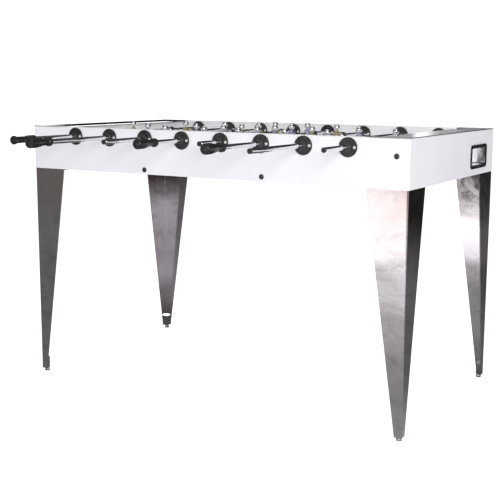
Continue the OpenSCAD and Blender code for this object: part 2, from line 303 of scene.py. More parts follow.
def make_polished_deck():
    """Dark polished steel sheet with long faint polishing streaks and hairline scratches."""
    f = Finish("polished_deck", (0.2, 0.19, 0.2), metallic=1.0, roughness=0.14)
    streak = f.noise(30, 4, 0.6, f.stretched((1.0, 26.0, 1.0)))
    hair = f.noise(60, 6, 0.75, f.stretched((2.0, 60.0, 1.0)))
    f.color(f.blend(f.remap(f.noise(5, 3), 0, 1), (0.18, 0.172, 0.182), (0.25, 0.24, 0.25)))
    f.roughness(f.remap(streak, 0.02, 0.06))
    f.bump((hair, 0.03, 0.0002))
    return f.material


def make_brushed(name, along, stains_and_painted_light=False):
    """Brushed stainless steel: fine streaks along one axis and clouds of wear; on the legs also warm stains,
    painted shade and painted reflections.
    """
    f = Finish(name, (0.58, 0.56, 0.59), metallic=1.0, roughness=0.3)
    stretch = tuple(0.035 if axis == along else 1.0 for axis in "xyz")
    fine = f.noise(1500, 2, 0.6, f.stretched(stretch))
    coarse = f.noise(330, 3, 0.6, f.stretched(stretch))
    cloud = f.noise(9, 4, 0.55, distortion=0.8)
    tone = f.plus(f.times(coarse, 0.35), f.times(cloud, 0.65))
    shade = f.blend(f.remap(tone, 0, 1), (0.5, 0.478, 0.51), (0.64, 0.62, 0.645))
    if stains_and_painted_light:
        x, y, height = f.axes(f.place)
        back = f.remap(y, 0, 1, -0.1, 0.1)
        left = f.remap(x, 1, 0, -0.1, 0.1)
        # Painted reflection shade: random darker smears that dim the legs' reflections
        painted_reflection_smear = f.noise(11, 5, 0.6, f.stretched((1.0, 1.0, 2.5)), distortion=0.6)
        shade = f.blend(f.remap(painted_reflection_smear, 0, 0.5, 0.5, 0.66), shade, (0.36, 0.335, 0.34))
        # Painted reflection: two back legs are made brighter, the left one at its lower end, the right one
        # at mid height
        low_end = f.times(left, f.remap(height, 1, 0, 0.25, 0.45))
        middle = f.times(f.remap(height, 0, 1, 0.41, 0.44), f.remap(height, 1, 0, 0.55, 0.6))
        middle = f.times(middle, f.remap(left, 1, 0))
        painted_bright_reflection = f.times(back, f.plus(low_end, middle))
        shade = f.blend(painted_bright_reflection, shade, (0.86, 0.83, 0.87))
        # Warm stains near the cabinet on the front legs; on the back legs the same band is painted shade
        # under the cabinet, dark brown on the right one and nearly black on the left
        blotch = f.noise(24, 5, 0.65, distortion=0.4)
        stain_and_shade = f.times(f.remap(height, 0, 1, 0.56, 0.68), f.remap(blotch, 0.5, 1, 0.38, 0.56))
        stain_and_shade = f.times(stain_and_shade, f.remap(back, 0.6, 0.95))
        stain_shade_tone = f.blend(left, (0.05, 0.042, 0.038), (0.2, 0.16, 0.145))
        shade = f.blend(stain_and_shade, shade, f.blend(back, (0.56, 0.46, 0.42), stain_shade_tone))
    f.color(shade)
    f.roughness(f.plus(f.remap(coarse, 0.07, 0.11), f.remap(cloud, -0.02, 0.05)))
    f.bump((fine, 0.1, 0.00012), (coarse, 0.06, 0.0003), (cloud, 0.12, 0.004))
    return f.material


def make_chrome():
    """Chrome plate with soft smears in its gloss."""
    f = Finish("chrome", (0.78, 0.78, 0.8), metallic=1.0, roughness=0.07)
    f.roughness(f.remap(f.noise(38, 4, 0.6), 0.04, 0.12))
    f.bump((f.noise(24, 2), 0.02, 0.0005))
    return f.material


def make_player(name, dark, light):
    """Metallic lacquer on a cast figure: fine flake, a clear coat and rubbed patches."""
    f = Finish(name, light, metallic=0.6, roughness=0.34, Coat_Weight=0.3, Coat_Roughness=0.12)
    flake = f.noise(2600, 1, 0.4)
    patch = f.noise(60, 4, 0.6)
    tone = f.plus(f.times(flake, 0.45), f.times(patch, 0.55))
    f.color(f.blend(f.remap(tone, 0, 1, 0.38, 0.62), dark, light))
    f.roughness(f.remap(patch, 0.26, 0.42))
    f.bump((flake, 0.08, 0.0001), (f.noise(180, 3), 0.05, 0.0004))
    return f.material


def make_black_plastic():
    """Moulded black plastic with a spark-eroded grain and slightly greyed high spots."""
    f = Finish("black_plastic", (0.015, 0.013, 0.014), roughness=0.26, IOR=1.55)
    grain = f.noise(1400, 2, 0.55)
    cloud = f.noise(40, 4, 0.6)
    f.color(f.blend(f.remap(cloud, 0, 1), (0.01, 0.0085, 0.0095), (0.02, 0.0175, 0.019)))
    f.roughness(f.plus(f.remap(grain, 0.2, 0.28), f.remap(cloud, 0.0, 0.08)))
    f.bump((grain, 0.1, 0.0002), (cloud, 0.05, 0.0006))
    return f.material


def make_mottled(name, color, tones, gloss, cloud, bumps, **sockets):
    """A material whose tone and gloss follow one cloud noise; bumps are (noise, strength, distance)."""
    f = Finish(name, color, **sockets)
    mottle = f.noise(*cloud)
    f.color(f.blend(f.remap(mottle, 0, 1), *tones))
    f.roughness(f.remap(mottle, *gloss))
    if bumps:
        f.bump(*((f.noise(*grain) if grain else mottle, *size) for grain, *size in bumps))
    return f.material


# Each look is a material and the CAD slot that it belongs to
WHITE = make_white_laminate(), "white_laminate"
FIELD = make_field(), "playfield_laminate"
DECK = make_polished_deck(), "polished_deck"
LEG_STEEL = make_brushed("stainless_legs", "z", stains_and_painted_light=True), "stainless"
TRAY_STEEL = make_brushed("stainless_trays", "y"), "stainless"
CHROME = make_chrome(), "chrome"
GOLD = make_player("gold_player", (0.34, 0.29, 0.15), (0.56, 0.49, 0.29)), "gold_player"
VIOLET = make_player("violet_player", (0.31, 0.29, 0.44), (0.5, 0.48, 0.66)), "violet_player"
PLATE = make_black_plastic(), "black_plastic"
HANDLE_DISC = PLATE[0], "sleeve_nylon"
# Handles: more gloss than the plates, where hands have polished them
GRIP = make_mottled("grip_plastic", (0.014, 0.013, 0.015), ((0.01, 0.0095, 0.011), (0.02, 0.018, 0.02)),
                    (0.2, 0.38), (55, 4, 0.6), (((900, 2), 0.12, 0.0002), (None, 0.05, 0.0006)),
                    roughness=0.3, IOR=1.42), "black_plastic"
CAP = GRIP[0], "black_rubber"
# Black oxide steel with brighter rubbed spots
BLACK_STEEL = make_mottled("black_steel", (0.05, 0.048, 0.05), ((0.03, 0.029, 0.031), (0.09, 0.086, 0.086)),
                           (0.32, 0.5), (120, 5, 0.65), (((700, 3), 0.12, 0.0002),),
                           metallic=0.8, roughness=0.42), "black_steel"
# Matt rubber with a fine bloom
RUBBER = make_mottled("black_rubber", (0.022, 0.022, 0.022), ((0.017, 0.017, 0.017), (0.04, 0.039, 0.038)),
                      (0.68, 0.88), (70, 5, 0.6), (((1100, 2), 0.2, 0.0002),), roughness=0.8), "black_rubber"
# Zinc plate on small screws, dull enough to catch light from all round
ZINC = make_mottled("zinc", (0.78, 0.77, 0.76), ((0.68, 0.67, 0.66), (0.84, 0.83, 0.82)),
                    (0.32, 0.48), (300, 3), (), metallic=0.6, roughness=0.4), "chrome"
# Dark nylon with a waxy gloss
NYLON = make_mottled("sleeve_nylon", (0.035, 0.034, 0.036), ((0.028, 0.027, 0.029), (0.045, 0.044, 0.046)),
                     (0.32, 0.5), (90, 4), (((600, 2), 0.08, 0.0002),), roughness=0.4), "sleeve_nylon"


# ---------------------------------------------------------------- mesh tools

def linked(name, data):
    """A new object in the scene."""
    item = bpy.data.objects.new(name, data)
    bpy.context.scene.collection.objects.link(item)
    return item


def new_piece(name, mesh, look, body, sharp=32, instead=None):
    """An object from a mesh, smooth except over sharp edges, that rides on a body.

    A look is a material with its CAD slot; instead is the CAD node that the piece stands for.
    """
    material, slot = look
    mesh.shade_smooth()
    mesh.set_sharp_from_angle(angle=math.radians(sharp))
    mesh.materials.clear()
    mesh.materials.append(material)
    piece = linked(name, mesh)
    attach(piece, body)
    if instead:
        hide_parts(instead)


def mesh_from(name, work):
    """A mesh data block from a bmesh, with its normals outwards."""
    bmesh.ops.recalc_face_normals(work, faces=work.faces)
    mesh = bpy.data.meshes.new(name)
    work.to_mesh(mesh)
    work.free()
    return mesh


def rounded(points, steps=5):
    """An open outline from (s, r) or (s, r, fillet) points: each fillet becomes an arc."""
    out = []
    for i, point in enumerate(points):
        here = Vector(point[:2])
        fillet = point[2] if len(point) > 2 else 0
        if not fillet or i in (0, len(points) - 1):
            out.append(here)
            continue
        into = (here - Vector(points[i - 1][:2])).normalized()
        away = (Vector(points[i + 1][:2]) - here).normalized()
        turn = into.angle_signed(away)
        reach = fillet * math.tan(abs(turn) / 2)
        start = here - into * reach
        across = Vector((-into.y, into.x)) * (-1 if turn > 0 else 1)
        middle = start + across * fillet
        spoke = start - middle
        for step in range(steps + 1):
            angle = -turn * step / steps
            cos, sin = math.cos(angle), math.sin(angle)
            out.append(middle + Vector((spoke.x * cos - spoke.y * sin, spoke.x * sin + spoke.y * cos)))
    return out


def rounded_mm(points, steps=5):
    """The same, from points in millimetres."""
    return rounded([tuple(value * mm for value in point) for point in points], steps)


def in_pairs(rows, closed):
    """Neighbours in a row, with the last and the first when it is closed."""
    return zip(rows, rows[1:] + rows[:1] if closed else rows[1:])


def skin(work, one, two):
    """Faces between two equal rings."""
    for i in range(len(one)):
        j = (i + 1) % len(one)
        work.faces.new((one[i], one[j], two[j], two[i]))


def lathe(work, profile, origin, direction, segments=64, closed=False):
    """Turns (s, r) points round a line: s runs along direction from origin, r is the radius."""
    axis = Vector(direction).normalized()
    side = axis.orthogonal().normalized()
    other = axis.cross(side)
    rings = []
    for s, r in profile:
        base = Vector(origin) + axis * s
        if r < 1e-7:
            rings.append([work.verts.new(base)])
            continue
        ring = []
        for i in range(segments):
            angle = 2 * math.pi * i / segments
            ring.append(work.verts.new(base + side * (r * math.cos(angle)) + other * (r * math.sin(angle))))
        rings.append(ring)
    for one, two in in_pairs(rings, closed):
        if len(one) == len(two) == segments:
            skin(work, one, two)
            continue
        for i in range(segments if len(one) + len(two) > 2 else 0):
            j = (i + 1) % segments
            if len(one) == 1:
                work.faces.new((one[0], two[j], two[i]))
            else:
                work.faces.new((one[i], one[j], two[0]))


def lathed(name, *shape):
    """A lathed mesh data block."""
    work = bmesh.new()
    lathe(work, *shape)
    return mesh_from(name, work)


def turned(name, profile, origin, direction, look, body, segments=64, closed=False, instead=None):
    """A lathed piece."""
    new_piece(name, lathed(name, profile, origin, direction, segments, closed), look, body, instead=instead)


def ball(name, centre, radius):
    """A sphere's mesh data block."""
    work = bmesh.new()
    bmesh.ops.create_uvsphere(work, u_segments=48, v_segments=24, radius=radius)
    bmesh.ops.translate(work, vec=centre, verts=work.verts)
    return mesh_from(name, work)


def loft(work, loops, closed=False):
    """Skins a row of equal closed loops of points, and caps its ends or closes it to a ring."""
    rows = [[work.verts.new(point) for point in loop] for loop in loops]
    for one, two in in_pairs(rows, closed):
        skin(work, one, two)
    if not closed:
        work.faces.new(rows[0][::-1])
        work.faces.new(rows[-1])


def round_rect(width, height, radius, steps=6):
    """Points of a rectangle with round corners about the origin, anticlockwise."""
    points = []
    for quarter, (sx, sy) in enumerate(((1, 1), (-1, 1), (-1, -1), (1, -1))):
        cx = sx * (width / 2 - radius)
        cy = sy * (height / 2 - radius)
        for step in range(steps + 1):
            angle = math.pi / 2 * (quarter + step / steps)
            points.append((cx + radius * math.cos(angle), cy + radius * math.sin(angle)))
    return points


def cut(target, cutter, operation="DIFFERENCE"):
    """Applies a boolean between two closed mesh data blocks and returns the new mesh."""
    first = linked("cut_target", target)
    second = linked("cut_tool", cutter)
    modifier = first.modifiers.new("cut", "BOOLEAN")
    modifier.object = second
    modifier.operation = operation
    modifier.solver = "MANIFOLD"
    bpy.context.view_layer.update()
    graph = bpy.context.evaluated_depsgraph_get()
    result = bpy.data.meshes.new_from_object(first.evaluated_get(graph))
    for item in (first, second):
        bpy.data.objects.remove(item)
    return result


def finish_cad(node, look):
    """Gives a CAD node its material."""
    material, slot = look
    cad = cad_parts[node]
    if cad.material_slots:
        for place in cad.material_slots:
            place.material = material
    else:
        cad.data.materials.append(material)


# ---------------------------------------------------------------- cabinet

def make_cabinet():
    """The CAD walls, boards and decks, with their finishes."""
    for node in ("front_wall", "back_wall", "left_end_wall", "right_end_wall", "goal_walls"):
        finish_cad(node, WHITE)
    finish_cad("playfield", FIELD)
    finish_cad("end_decks", DECK)
    finish_cad("ball_trays", TRAY_STEEL)


def make_window_frames():
    """Ball windows: a black rim with soft edges on the face, and a steel liner through the wall."""
    boxes = solids_of("return_frames")
    boxes.sort(key=lambda box: box[0].x)
    rim = 12 * mm
    liner = 2.5 * mm
    proud = 3 * mm
    for name, (low, high), outward in (("left", boxes[0], -1), ("right", boxes[1], 1)):
        middle = centre_of(low, high)
        inner_w = high.y - low.y - 2 * rim
        inner_h = high.z - low.z - 2 * rim
        deep = half_l - min(abs(low.x), abs(high.x))
        # (distance out from the cabinet's face, growth of the opening, corner radius in mm)
        rim_section = [
            (0.0, liner, 6.5), (0.0, rim, 14.0), (proud - 1.6 * mm, rim, 14.0),
            (proud - 0.6 * mm, rim - 0.4 * mm, 13.6), (proud, rim - 1.6 * mm, 12.6),
            (proud, 1.6 * mm, 6.0), (proud - 0.5 * mm, 0.4 * mm, 5.2), (proud - 1.6 * mm, 0.0, 5.0),
            (0.0, 0.0, 5.0),
        ]
        liner_section = [
            (-deep, liner, 6.5), (0.0, liner, 6.5), (0.0, 0.0, 5.0), (0.6 * mm - deep, 0.0, 5.0),
            (-deep, 0.6 * mm, 5.4),
        ]
        for kind, section, look in (("frame", rim_section, GRIP), ("liner", liner_section, TRAY_STEEL)):
            loops = []
            for out, grow, radius in section:
                points = round_rect(inner_w + 2 * grow, inner_h + 2 * grow, radius * mm, 8)
                loops.append([Vector((outward * (half_l + out), middle.y + y, middle.z + z))
                              for y, z in points])
            work = bmesh.new()
            loft(work, loops, closed=True)
            title = f"window_{kind}_{name}"
            new_piece(title, mesh_from(title, work), look, "cabinet",
                      instead="return_frames" if title == "window_frame_right" else None)


def socket_bolt(name, origin, direction, head_d, head_t, socket_d, instead=None):
    """A round domed head with a six-sided socket."""
    radius = head_d / 2
    socket = socket_d / 2
    mouth = socket * 1.25
    depth = head_t * 0.62
    work = bmesh.new()
    profile = rounded([(0, 0), (0, radius), (head_t * 0.45, radius, head_t * 0.3),
                       (head_t, radius * 0.72, head_t * 0.5), (head_t, mouth)], 5)
    lathe(work, profile, origin, direction, 48)
    axis = Vector(direction).normalized()
    side = axis.orthogonal().normalized()
    other = axis.cross(side)
    rim = [v for v in work.verts if abs((v.co - Vector(origin)).dot(axis) - head_t) < 1e-7
           and abs((v.co - Vector(origin) - axis * head_t).length - mouth) < 1e-7]
    loops = []
    for level in (head_t, head_t - depth):
        loop = []
        for vert in rim:
            flat = vert.co - Vector(origin) - axis * head_t
            angle = math.atan2(flat.dot(other), flat.dot(side))
            wedge = (angle % (math.pi / 3)) - math.pi / 6
            hexagon = socket * math.cos(math.pi / 6) / math.cos(wedge)
            loop.append(Vector(origin) + axis * level
                        + side * (hexagon * math.cos(angle)) + other * (hexagon * math.sin(angle)))
        loops.append([work.verts.new(point) for point in loop])
    skin(work, rim, loops[0])
    skin(work, *loops)
    work.faces.new(loops[1])
    new_piece(name, mesh_from(name, work), BLACK_STEEL, "cabinet", instead=instead)


def make_cabinet_bolts():
    """The black bolts in the long walls: a head on the face, and a shank into the wall."""
    head_t = 3 * mm
    shank_r = 4 * mm
    socket_share = 0.46
    for i, (low, high) in enumerate(solids_of("cabinet_bolts")):
        middle = centre_of(low, high)
        outward = 1 if middle.y > 0 else -1
        name = f"cabinet_bolt_{i + 1}"
        head_d = high.x - low.x
        face = Vector((middle.x, outward * half_w, middle.z))
        socket_bolt(name, face, (0, outward, 0), head_d, head_t, head_d * socket_share,
                    "cabinet_bolts" if i == 0 else None)
        shank_from = (high.y if outward < 0 else low.y) * outward
        depth = half_w - shank_from
        turned(f"{name}_shank", [(0, 0), (0, shank_r), (depth, shank_r), (depth, 0)],
               (middle.x, outward * shank_from, middle.z), (0, outward, 0), BLACK_STEEL, "cabinet", 24)


# ---------------------------------------------------------------- bearings

def make_bearings():
    """Round plates with ridged rings on both faces of the long walls, their hubs and screws."""
    low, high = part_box("bearing_housings")
    plate_t = high.y - half_w
    plate_r = (high.z - low.z) / 2
    hub_r = 17 * mm
    bore = 11.05 * mm
    ridge = 0.9 * mm
    ring_radii = [13.5, 17.0, 20.5, 24.0, 27.2]
    face = plate_t - 0.4 * mm
    outline = [(0, hub_r), (0, plate_r), (plate_t - 2.4 * mm, plate_r, 1.4 * mm),
               (face, plate_r - 1.6 * mm, 0.8 * mm)]
    for radius in reversed(ring_radii):
        outline += [(face, radius * mm + 0.55 * mm, 0.25 * mm),
                    (face - ridge, radius * mm + 0.3 * mm, 0.25 * mm),
                    (face - ridge, radius * mm - 0.75 * mm, 0.25 * mm),
                    (face, radius * mm - 1.0 * mm, 0.25 * mm)]
    outline += [(plate_t, 12.4 * mm, 0.3 * mm), (plate_t, bore, 0.2 * mm),
                (-wall / 2, bore), (-wall / 2, hub_r)]
    plate = lathed("bearing_plate", rounded(outline, 2), (0, 0, 0), (0, 1, 0), 96, True)
    screw = screw_mesh()
    screw_reach = 22.6 * mm
    first_turn = 0.7
    instead = "bearing_housings"
    for rod in rods:
        for wall_side in (-1, 1):
            for facing in (-1, 1):
                place = "front" if wall_side < 0 else "back"
                where = "outer" if facing == wall_side else "inner"
                name = f"{rod.name}_bearing_{place}_{where}"
                y = wall_side * (half_w - wall / 2) + facing * wall / 2
                turn = Matrix.Rotation(0 if facing > 0 else math.pi, 4, "Z")
                at = Matrix.Translation((rod.x, y, rod.z)) @ turn
                copy = plate.copy()
                copy.transform(at)
                new_piece(name, copy, PLATE, "cabinet", 26, instead)
                instead = None
                screws = bmesh.new()
                for side in (-1, 1):
                    part = screw.copy()
                    # Every screw stops at another angle
                    spin = Matrix.Rotation(first_turn + side + rod.x * 9 + facing, 4, "Y")
                    part.transform(at @ Matrix.Translation((side * screw_reach, face, 0)) @ spin)
                    screws.from_mesh(part)
                    bpy.data.meshes.remove(part)
                new_piece(f"{name}_screws", mesh_from(f"{name}_screws", screws), ZINC, "cabinet")


def screw_mesh():
    """A pan-head screw along +Y with a cross recess, its seat at the origin."""
    head = rounded_mm([(-2, 0), (-2, 2.1), (-0.9, 2.1), (-0.9, 4.5), (0.7, 4.5, 0.7), (1.1, 2.4, 4),
                       (1.2, 0)], 4)
    body = lathed("screw", head, (0, 0, 0), (0, 1, 0), 28)
    tool = bmesh.new()
    for turn in (0, math.pi / 2):
        box = bmesh.ops.create_cube(tool, size=1)
        shape = (Matrix.Translation((0, 1.2 * mm, 0)) @ Matrix.Rotation(turn, 4, "Y")
                 @ Matrix.Diagonal((4.8 * mm, 1.4 * mm, 0.9 * mm, 1)))
        bmesh.ops.transform(tool, matrix=shape, verts=box["verts"])
    return cut(body, mesh_from("screw_cross", tool))


def make_sleeves():
    """Nylon sleeves that turn in the bearings, with rolled lips."""
    sleeves = solids_of("rod1_sleeves")
    long = sleeves[0][1].y - sleeves[0][0].y
    lip_r = (sleeves[0][1].x - sleeves[0][0].x) / 2
    out_r = 11 * mm
    bore = 8.05 * mm
    lip_t = 2 * mm
    profile = rounded([
        (-long / 2, bore), (-long / 2, lip_r, 0.6 * mm), (-long / 2 + lip_t, lip_r, 0.5 * mm),
        (-long / 2 + lip_t, out_r), (long / 2 - lip_t, out_r), (long / 2 - lip_t, lip_r, 0.5 * mm),
        (long / 2, lip_r, 0.6 * mm), (long / 2, bore)], 4)
    for rod in rods:
        for wall_side, place in ((-1, "front"), (1, "back")):
            turned(f"{rod.name}_sleeve_{place}", profile,
                   (rod.x, wall_side * (half_w - wall / 2), rod.z), (0, 1, 0), NYLON,
                   f"{rod.name}_turn", closed=True, instead=f"{rod.name}_sleeves" if wall_side < 0 else None)


# ---------------------------------------------------------------- rods

# How deep the tube's end lies inside the handle
tube_inset = 5 * mm
# Where a spring's ends lie, in mm from the washer's face
spring_from = 19
spring_to = 39


def make_shaft(rod):
    """The chrome tube."""
    inner = 5 * mm
    grip_end = rod.grip_out - rod.side * tube_inset
    long = abs(grip_end - rod.shaft_bare)
    edge = 0.6 * mm
    profile = [(0, inner), (0, rod.radius - edge), (edge, rod.radius), (long - edge, rod.radius),
               (long, rod.radius - edge), (long, inner)]
    turned(f"{rod.name}_tube", profile, (rod.x, rod.shaft_bare, rod.z), (0, rod.side, 0),
           CHROME, rod.name, 72, closed=True, instead=f"{rod.name}_shaft")


def make_grip(rod):
    """The handle, with a disc let into its outer end. Outlines run inwards from the end, in mm."""
    long = abs(rod.grip_out - rod.grip_in)
    drawn_long = 98
    bore = rod.bore / mm
    if rod.slim:
        outline = [(2.0, 0), (2.0, 6.6), (0, 7.2, 0.4), (0, 12.8, 1.2), (1.8, 14.0, 1.4), (8.4, 13.8, 2.0),
                   (13, 11.0, 4), (20, 10.6, 8), (58, 10.6, 6), (63.5, 12.8, 3), (80, 13.0, 20),
                   (96.4, 13.0, 1.4), (98, 11.6, 0.4), (98, bore)]
    else:
        outline = [(2.0, 0), (2.0, 6.6), (0, 7.2, 0.4), (0, 12.4, 1.6), (2.6, 15.6, 2.6),
                   (8, 16.5, 8), (33, 16.3, 25), (49, 13.8, 30), (65, 11.1, 25), (81.5, 10.6, 2.2),
                   (85.5, 14.0, 1.6), (96.2, 14.0, 1.5), (98, 11.8, 0.5), (98, bore)]
    stretch = long / mm / drawn_long
    profile = rounded_mm([(point[0] * stretch, *point[1:]) for point in outline], 6)
    profile += [Vector((tube_inset, bore * mm)), Vector((tube_inset, 0))]
    origin = (rod.x, rod.grip_out, rod.z)
    inward = (0, -rod.side, 0)
    turned(f"{rod.name}_handle", profile, origin, inward, GRIP, rod.name, 80, instead=f"{rod.name}_grip")
    disc = rounded_mm([(1.9, 0), (1.9, 6.4), (0.9, 6.4, 0.5), (0.6, 0)], 4)
    turned(f"{rod.name}_handle_disc", disc, origin, inward, HANDLE_DISC, rod.name, 48)


def make_cap(rod):
    """The black cap plugged into the bare end."""
    long = abs(rod.bare_out - rod.shaft_bare) / mm
    r = rod.radius / mm
    plug = long + 14
    profile = rounded_mm([(0, 0), (0, r - 0.2, 1.6), (long - 0.8, r, 0.3), (long - 0.4, r - 0.5),
                          (long, r - 0.5), (long, 4.9), (plug, 4.7, 0.8), (plug, 0)], 6)
    turned(f"{rod.name}_end_cap", profile, (rod.x, rod.bare_out, rod.z), (0, rod.side, 0),
           CAP, rod.name, 56)


def make_bumpers(rod):
    """Washer, grooved rubber and spring on each side, and the goalkeepers' stop collars."""
    bore = rod.bore / mm
    washer = rounded_mm([(0, bore), (0, 15.5, 0.4), (2, 15.5, 0.4), (2, bore)], 3)
    rubber = rounded_mm([(2, bore), (2, 13.6, 1.2), (7, 14, 0.8), (8, 12.4, 0.8), (9.4, 12.4, 0.8),
                         (10.4, 14, 0.8), (17.5, 13.4, 2), (spring_from, 10, 0.6), (spring_from, bore)], 4)
    collar = rounded_mm([(spring_to, bore), (spring_to, 13, 0.7), (49, 13, 0.7), (49, bore)], 4)
    for side, word in ((-1, "front"), (1, "back")):
        inward = (0, -side, 0)
        origin = (rod.x, rod.middle + side * rod.bumper_end, rod.z)

        def ring(kind, profile, look, instead=None):
            turned(f"{rod.name}_{kind}_{word}", profile, origin, inward, look, rod.name, 56, True, instead)

        ring("washer", washer, CHROME)
        ring("bumper", rubber, RUBBER, f"{rod.name}_bumpers" if side < 0 else None)
        spring(f"{rod.name}_spring_{word}", Vector(origin), side, rod.name)
        if rod.slim:
            ring("stop_collar", collar, CHROME)


def spring(name, origin, side, body):
    """A coil spring between the rubber and the player, with closed ends."""
    wire = 0.9 * mm
    radius = 9.5 * mm
    start = spring_from * mm + wire
    stop = spring_to * mm - wire
    turns = 6
    steps = 22
    rows = []
    total = turns * steps
    dead = 0.08
    for i in range(total + 1):
        share = i / total
        # The first and last coils lie flat, and the pitch grows softly between them
        reach = min(1, max(0, (share - dead) / (1 - 2 * dead)))
        lead = 0.35 * (0.5 - 0.5 * math.cos(math.pi * reach)) + 0.65 * reach
        angle = 2 * math.pi * turns * share
        s = start + (stop - start) * lead
        centre = origin + Vector((radius * math.cos(angle), -side * s, radius * math.sin(angle)))
        out = Vector((math.cos(angle), 0, math.sin(angle)))
        rows.append([centre + out * (wire * math.cos(a)) + Vector((0, 1, 0)) * (wire * math.sin(a))
                     for a in (2 * math.pi * k / 8 for k in range(8))])
    work = bmesh.new()
    loft(work, rows)
    new_piece(name, mesh_from(name, work), CHROME, body, 60)


# ---------------------------------------------------------------- players

def body_mesh(rod):
    """One player without its head: a lofted figure with the rod's hub and bore through it."""
    # (height over the rod axis, half thickness, half width, squareness), in millimetres
    sections = [
        (-68.0, 7.2, 9.6, 4.0), (-67.4, 8.4, 10.8, 4.0), (-66.0, 9.4, 11.4, 4.0), (-64.0, 9.9, 11.5, 4.0),
        (-60.0, 9.7, 11.5, 4.0), (-55.0, 8.4, 11.3, 3.6), (-50.0, 7.2, 10.8, 3.2), (-44.0, 6.4, 9.6, 2.8),
        (-36.0, 6.3, 9.3, 2.6), (-26.0, 6.7, 10.0, 2.6), (-16.0, 7.5, 11.2, 2.8), (-8.0, 8.3, 12.6, 3.0),
        (0.0, 8.8, 14.0, 3.2), (6.0, 9.0, 14.9, 3.2), (10.0, 9.0, 15.0, 3.0), (13.0, 8.7, 14.6, 2.8),
        (15.3, 7.9, 13.4, 2.6), (17.0, 6.7, 10.8, 2.4), (18.2, 5.5, 7.6, 2.2), (19.2, 4.7, 5.4, 2.0),
        (20.4, 4.4, 4.6, 2.0), (24.0, 4.4, 4.4, 2.0),
    ]
    around = 56
    loops = []
    for height, thick, wide, power in sections:
        loop = []
        for i in range(around):
            angle = 2 * math.pi * i / around
            cos, sin = math.cos(angle), math.sin(angle)
            loop.append(Vector((
                math.copysign(abs(cos) ** (2 / power), cos) * thick * mm,
                math.copysign(abs(sin) ** (2 / power), sin) * wide * mm,
                height * mm)))
        loops.append(loop)
    work = bmesh.new()
    loft(work, loops)
    figure = mesh_from("player_figure", work)

    along_rod = (0, 0, 0), (0, 1, 0)
    hub = rounded_mm([(-15, 0), (-15, 12, 1), (15, 12, 1), (15, 0)], 3)
    figure = cut(figure, lathed("player_hub", hub, *along_rod), "UNION")
    bore = [(-20 * mm, 0), (-20 * mm, rod.bore), (20 * mm, rod.bore), (20 * mm, 0)]
    figure = cut(figure, lathed("player_bore", bore, *along_rod))
    figure = cut(figure, ball("player_socket", (0, 0, head_height), head_radius + 0.02 * mm))
    groove = rounded_mm([(-55, 0), (-55, 1.6), (-18, 1.6), (-15, 0)])
    groove_x = 7.2 * mm
    for side in (-1, 1):
        figure = cut(figure, lathed("player_groove", groove, (side * groove_x, 0, 0), (0, 0, 1), 16))
    return figure


def make_players():
    """Every player: a coloured figure pinned to the rod, with a chrome ball for a head."""
    master = body_mesh(rods[0])
    pin = rounded_mm([(0, 0), (0, 2.2), (0.7, 2.2, 0.4), (0.8, 0)], 3)
    pin_x = 8.6 * mm
    for rod in rods:
        for i, y in enumerate(rod.player_ys):
            name = f"{rod.name}_player_{i + 1}"
            figure = master.copy()
            figure.transform(Matrix.Translation((rod.x, y, rod.z)))
            new_piece(f"{name}_body", figure, GOLD if rod.side < 0 else VIOLET, rod.name, 38,
                      f"{rod.name}_players" if i == 0 else None)
            head = ball(f"{name}_head", (rod.x, y, rod.z + head_height), head_radius)
            new_piece(f"{name}_head", head, CHROME, rod.name)
            turned(f"{name}_pin", pin, (rod.x + pin_x, y, rod.z), (1, 0, 0), CHROME, rod.name, 24)


# ---------------------------------------------------------------- legs

leg_sheet = 3 * mm


class Corner:
    """A leg's own frame: its outside corner at the origin, its wings along +X and +Y."""

    def __init__(self, place):
        self.name = place
        low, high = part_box(f"leg_{place}")
        self.sx = 1 if "left" in place else -1
        self.sy = 1 if "front" in place else -1
        self.x = low.x if self.sx > 0 else high.x
        self.y = low.y if self.sy > 0 else high.y
        self.bottom = low.z
        self.top = high.z
        self.width = high.x - low.x

    def at(self, x, y, z):
        """A point of the leg's frame in the table's frame."""
        return Vector((self.x + self.sx * x, self.y + self.sy * y, z))

    def block(self, outline, middle, levels):
        """A bmesh of an upright block: each level is (z, how much the outline shrinks to its middle)."""
        work = bmesh.new()
        loft(work, [[self.at(middle + (x - middle) * shrink, middle + (y - middle) * shrink, z)
                     for x, y in outline] for z, shrink in levels])
        return work


def wing_outline(width):
    """The bent sheet's cross-section: two wings in an L, with a round bend and broken edges.

    Points close to the ends of each flat keep its shading flat.
    """
    t = leg_sheet
    edge = 0.5 * mm
    outer = rounded([(width - edge, t), (width, t - edge), (width, edge), (width - edge, 0),
                     (0, 0, 4.6 * mm), (0, width - edge), (edge, width), (t - edge, width),
                     (t, width - edge)], 8)
    inner = rounded([(t, width - edge), (t, t, 1.6 * mm), (width - edge, t)], 6)[1:-1]
    outline = outer + inner
    braced = []
    for one, two in zip(outline, outline[1:] + outline[:1]):
        braced.append(one)
        gap = two - one
        if gap.length > 10 * mm:
            margin = gap.normalized() * 1.5 * mm
            braced += [one + margin, two - margin]
    return braced


